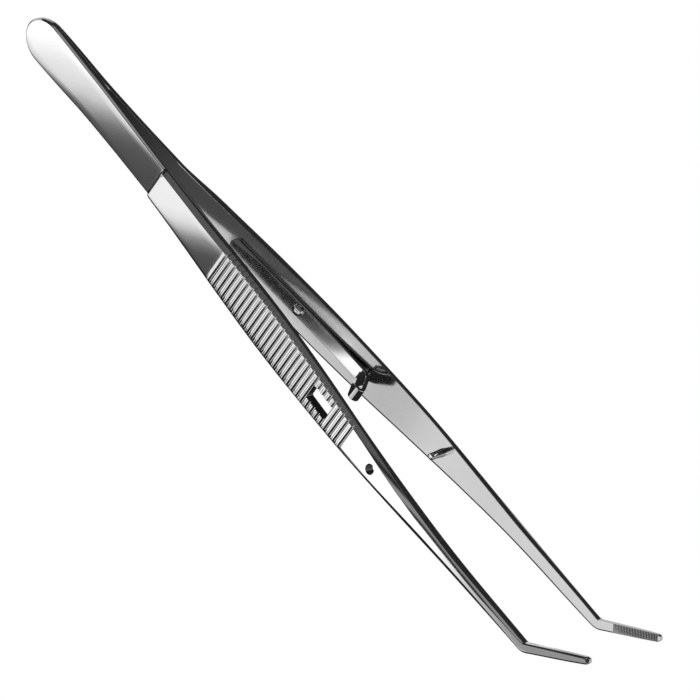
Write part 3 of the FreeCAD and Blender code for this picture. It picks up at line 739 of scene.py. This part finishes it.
def toneAlong(tree, values):
    # grey that changes along x, its lines leaning by tilt around the level
    first, last = values["ends"][0][0], values["ends"][1][0]
    here = newNode(tree, "ShaderNodeTexCoord").outputs["Object"]
    along = newNode(tree, "ShaderNodeVectorMath", operation="DOT_PRODUCT")
    along.inputs[1].default_value = (1, 0, -values["tilt"])
    tree.links.new(here, along.inputs[0])
    level = place(0, 0, values["level"])
    zero = level.x - values["tilt"] * level.z
    share = mapped(tree, along.outputs["Value"], zero + first * mm, zero + last * mm, 0, 1)
    ramp = newNode(tree, "ShaderNodeValToRGB")
    stops, tones = ramp.color_ramp.elements, values["tones"]
    stops[0].color = (tones[0][1],) * 3 + (1,)
    stops[-1].color = (tones[-1][1],) * 3 + (1,)
    for x, tone in tones[1:-1]:
        stops.new((x - first) / (last - first)).color = (tone,) * 3 + (1,)
    tree.links.new(share, ramp.inputs[0])
    return ramp.outputs[0]


def makeReflector(values):
    bpy.ops.object.select_all(action="DESELECT")
    (x0, y0), (x1, y1) = values["ends"]
    low, high, endLow, endHigh = values["heights"]
    corners = (place(x0, y0, low), place(x1, y1, endLow), place(x0, y0, high), place(x1, y1, endHigh))
    bpy.ops.mesh.primitive_plane_add(size=1, location=(0, 0, 0))
    card = bpy.context.object
    card.name = values["name"]
    for vertex, corner in zip(card.data.vertices, corners):
        vertex.co = corner
    card.visible_camera = False
    card.visible_diffuse = False
    card.visible_shadow = False
    material = bpy.data.materials.new(values["name"])
    material.use_nodes = True
    tree = material.node_tree
    tree.nodes.remove(tree.nodes["Principled BSDF"])
    glow = newNode(tree, "ShaderNodeEmission")
    glow.inputs["Strength"].default_value = reflectorStrength
    tree.links.new(toneAlong(tree, values), glow.inputs["Color"])
    tree.links.new(glow.outputs[0], tree.nodes["Material Output"].inputs["Surface"])
    card.data.materials.append(material)


def calculate(tree, operation, first, second=None):
    node = newNode(tree, "ShaderNodeMath", operation=operation)
    for socket, value in zip(node.inputs, (first, second)):
        if isinstance(value, (int, float)):
            socket.default_value = value
        elif value:
            tree.links.new(value, socket)
    return node.outputs[0]


def patchMask(tree, source, low, high, soft):
    # 1 between low and high, 0 outside, with soft edges
    rise = mapped(tree, source, math.radians(low - soft / 2), math.radians(low + soft / 2), 0, 1)
    fall = mapped(tree, source, math.radians(high - soft / 2), math.radians(high + soft / 2), 1, 0)
    return calculate(tree, "MULTIPLY", rise, fall)


def makeWorld():
    world = bpy.data.worlds.new("studio")
    bpy.context.scene.world = world
    world.use_nodes = True
    tree = world.node_tree
    background = tree.nodes["Background"]
    background.inputs["Color"].default_value = (1, 1, 1, 1)
    direction = newNode(tree, "ShaderNodeTexCoord").outputs["Generated"]
    split = newNode(tree, "ShaderNodeSeparateXYZ")
    tree.links.new(direction, split.inputs[0])
    azimuth = calculate(tree, "ARCTAN2", calculate(tree, "MULTIPLY", split.outputs["X"], -1),
                        calculate(tree, "MULTIPLY", split.outputs["Y"], -1))
    elevation = calculate(tree, "ARCSINE", split.outputs["Z"])
    light = studio["base"]
    for across, up, soft, strength in studio["patches"]:
        mask = calculate(tree, "MULTIPLY", patchMask(tree, azimuth, *across, soft),
                         patchMask(tree, elevation, *up, soft))
        light = calculate(tree, "ADD", light, calculate(tree, "MULTIPLY", mask, strength))
    lightPath = newNode(tree, "ShaderNodeLightPath")
    choose = newNode(tree, "ShaderNodeMix", data_type="FLOAT")
    choose.inputs[2].default_value = studio["light"]
    tree.links.new(lightPath.outputs["Is Glossy Ray"], choose.inputs[0])
    tree.links.new(light, choose.inputs[3])
    tree.links.new(choose.outputs[0], background.inputs["Strength"])


shot = {
    "aim": (75, 0, 0),
    "azimuth": 24.3,
    "elevation": 30.9,
    "roll": 36.0,
    "distance": 0.89636,
    "lens": 286.22,
    "sensor": 36,
    "shiftX": 0.0602,
    "shiftY": -0.0103,
    "clip": (0.05, 20),
}


def makeCamera():
    camera = bpy.data.objects.new("camera", bpy.data.cameras.new("camera"))
    bpy.context.scene.collection.objects.link(camera)
    bpy.context.scene.camera = camera
    turn, lift = math.radians(shot["azimuth"]), math.radians(shot["elevation"])
    back = Vector((math.sin(turn) * math.cos(lift), -math.cos(turn) * math.cos(lift), math.sin(lift)))
    side = Vector((math.cos(turn), math.sin(turn), 0))
    side.rotate(Matrix.Rotation(math.radians(shot["roll"]), 3, back))
    up = back.cross(side)
    camera.matrix_world = Matrix((side, up, back)).transposed().to_4x4()
    camera.location = place(*shot["aim"]) + back * shot["distance"]
    camera.data.sensor_width = shot["sensor"]
    camera.data.lens = shot["lens"]
    camera.data.shift_x = shot["shiftX"]
    camera.data.shift_y = shot["shiftY"]
    camera.data.clip_start, camera.data.clip_end = shot["clip"]


makeFloor()
for values in reflectors:
    makeReflector(values)
makeWorld()
makeCamera()
bpy.context.scene.view_settings.view_transform = "Standard"
print("studio ready")
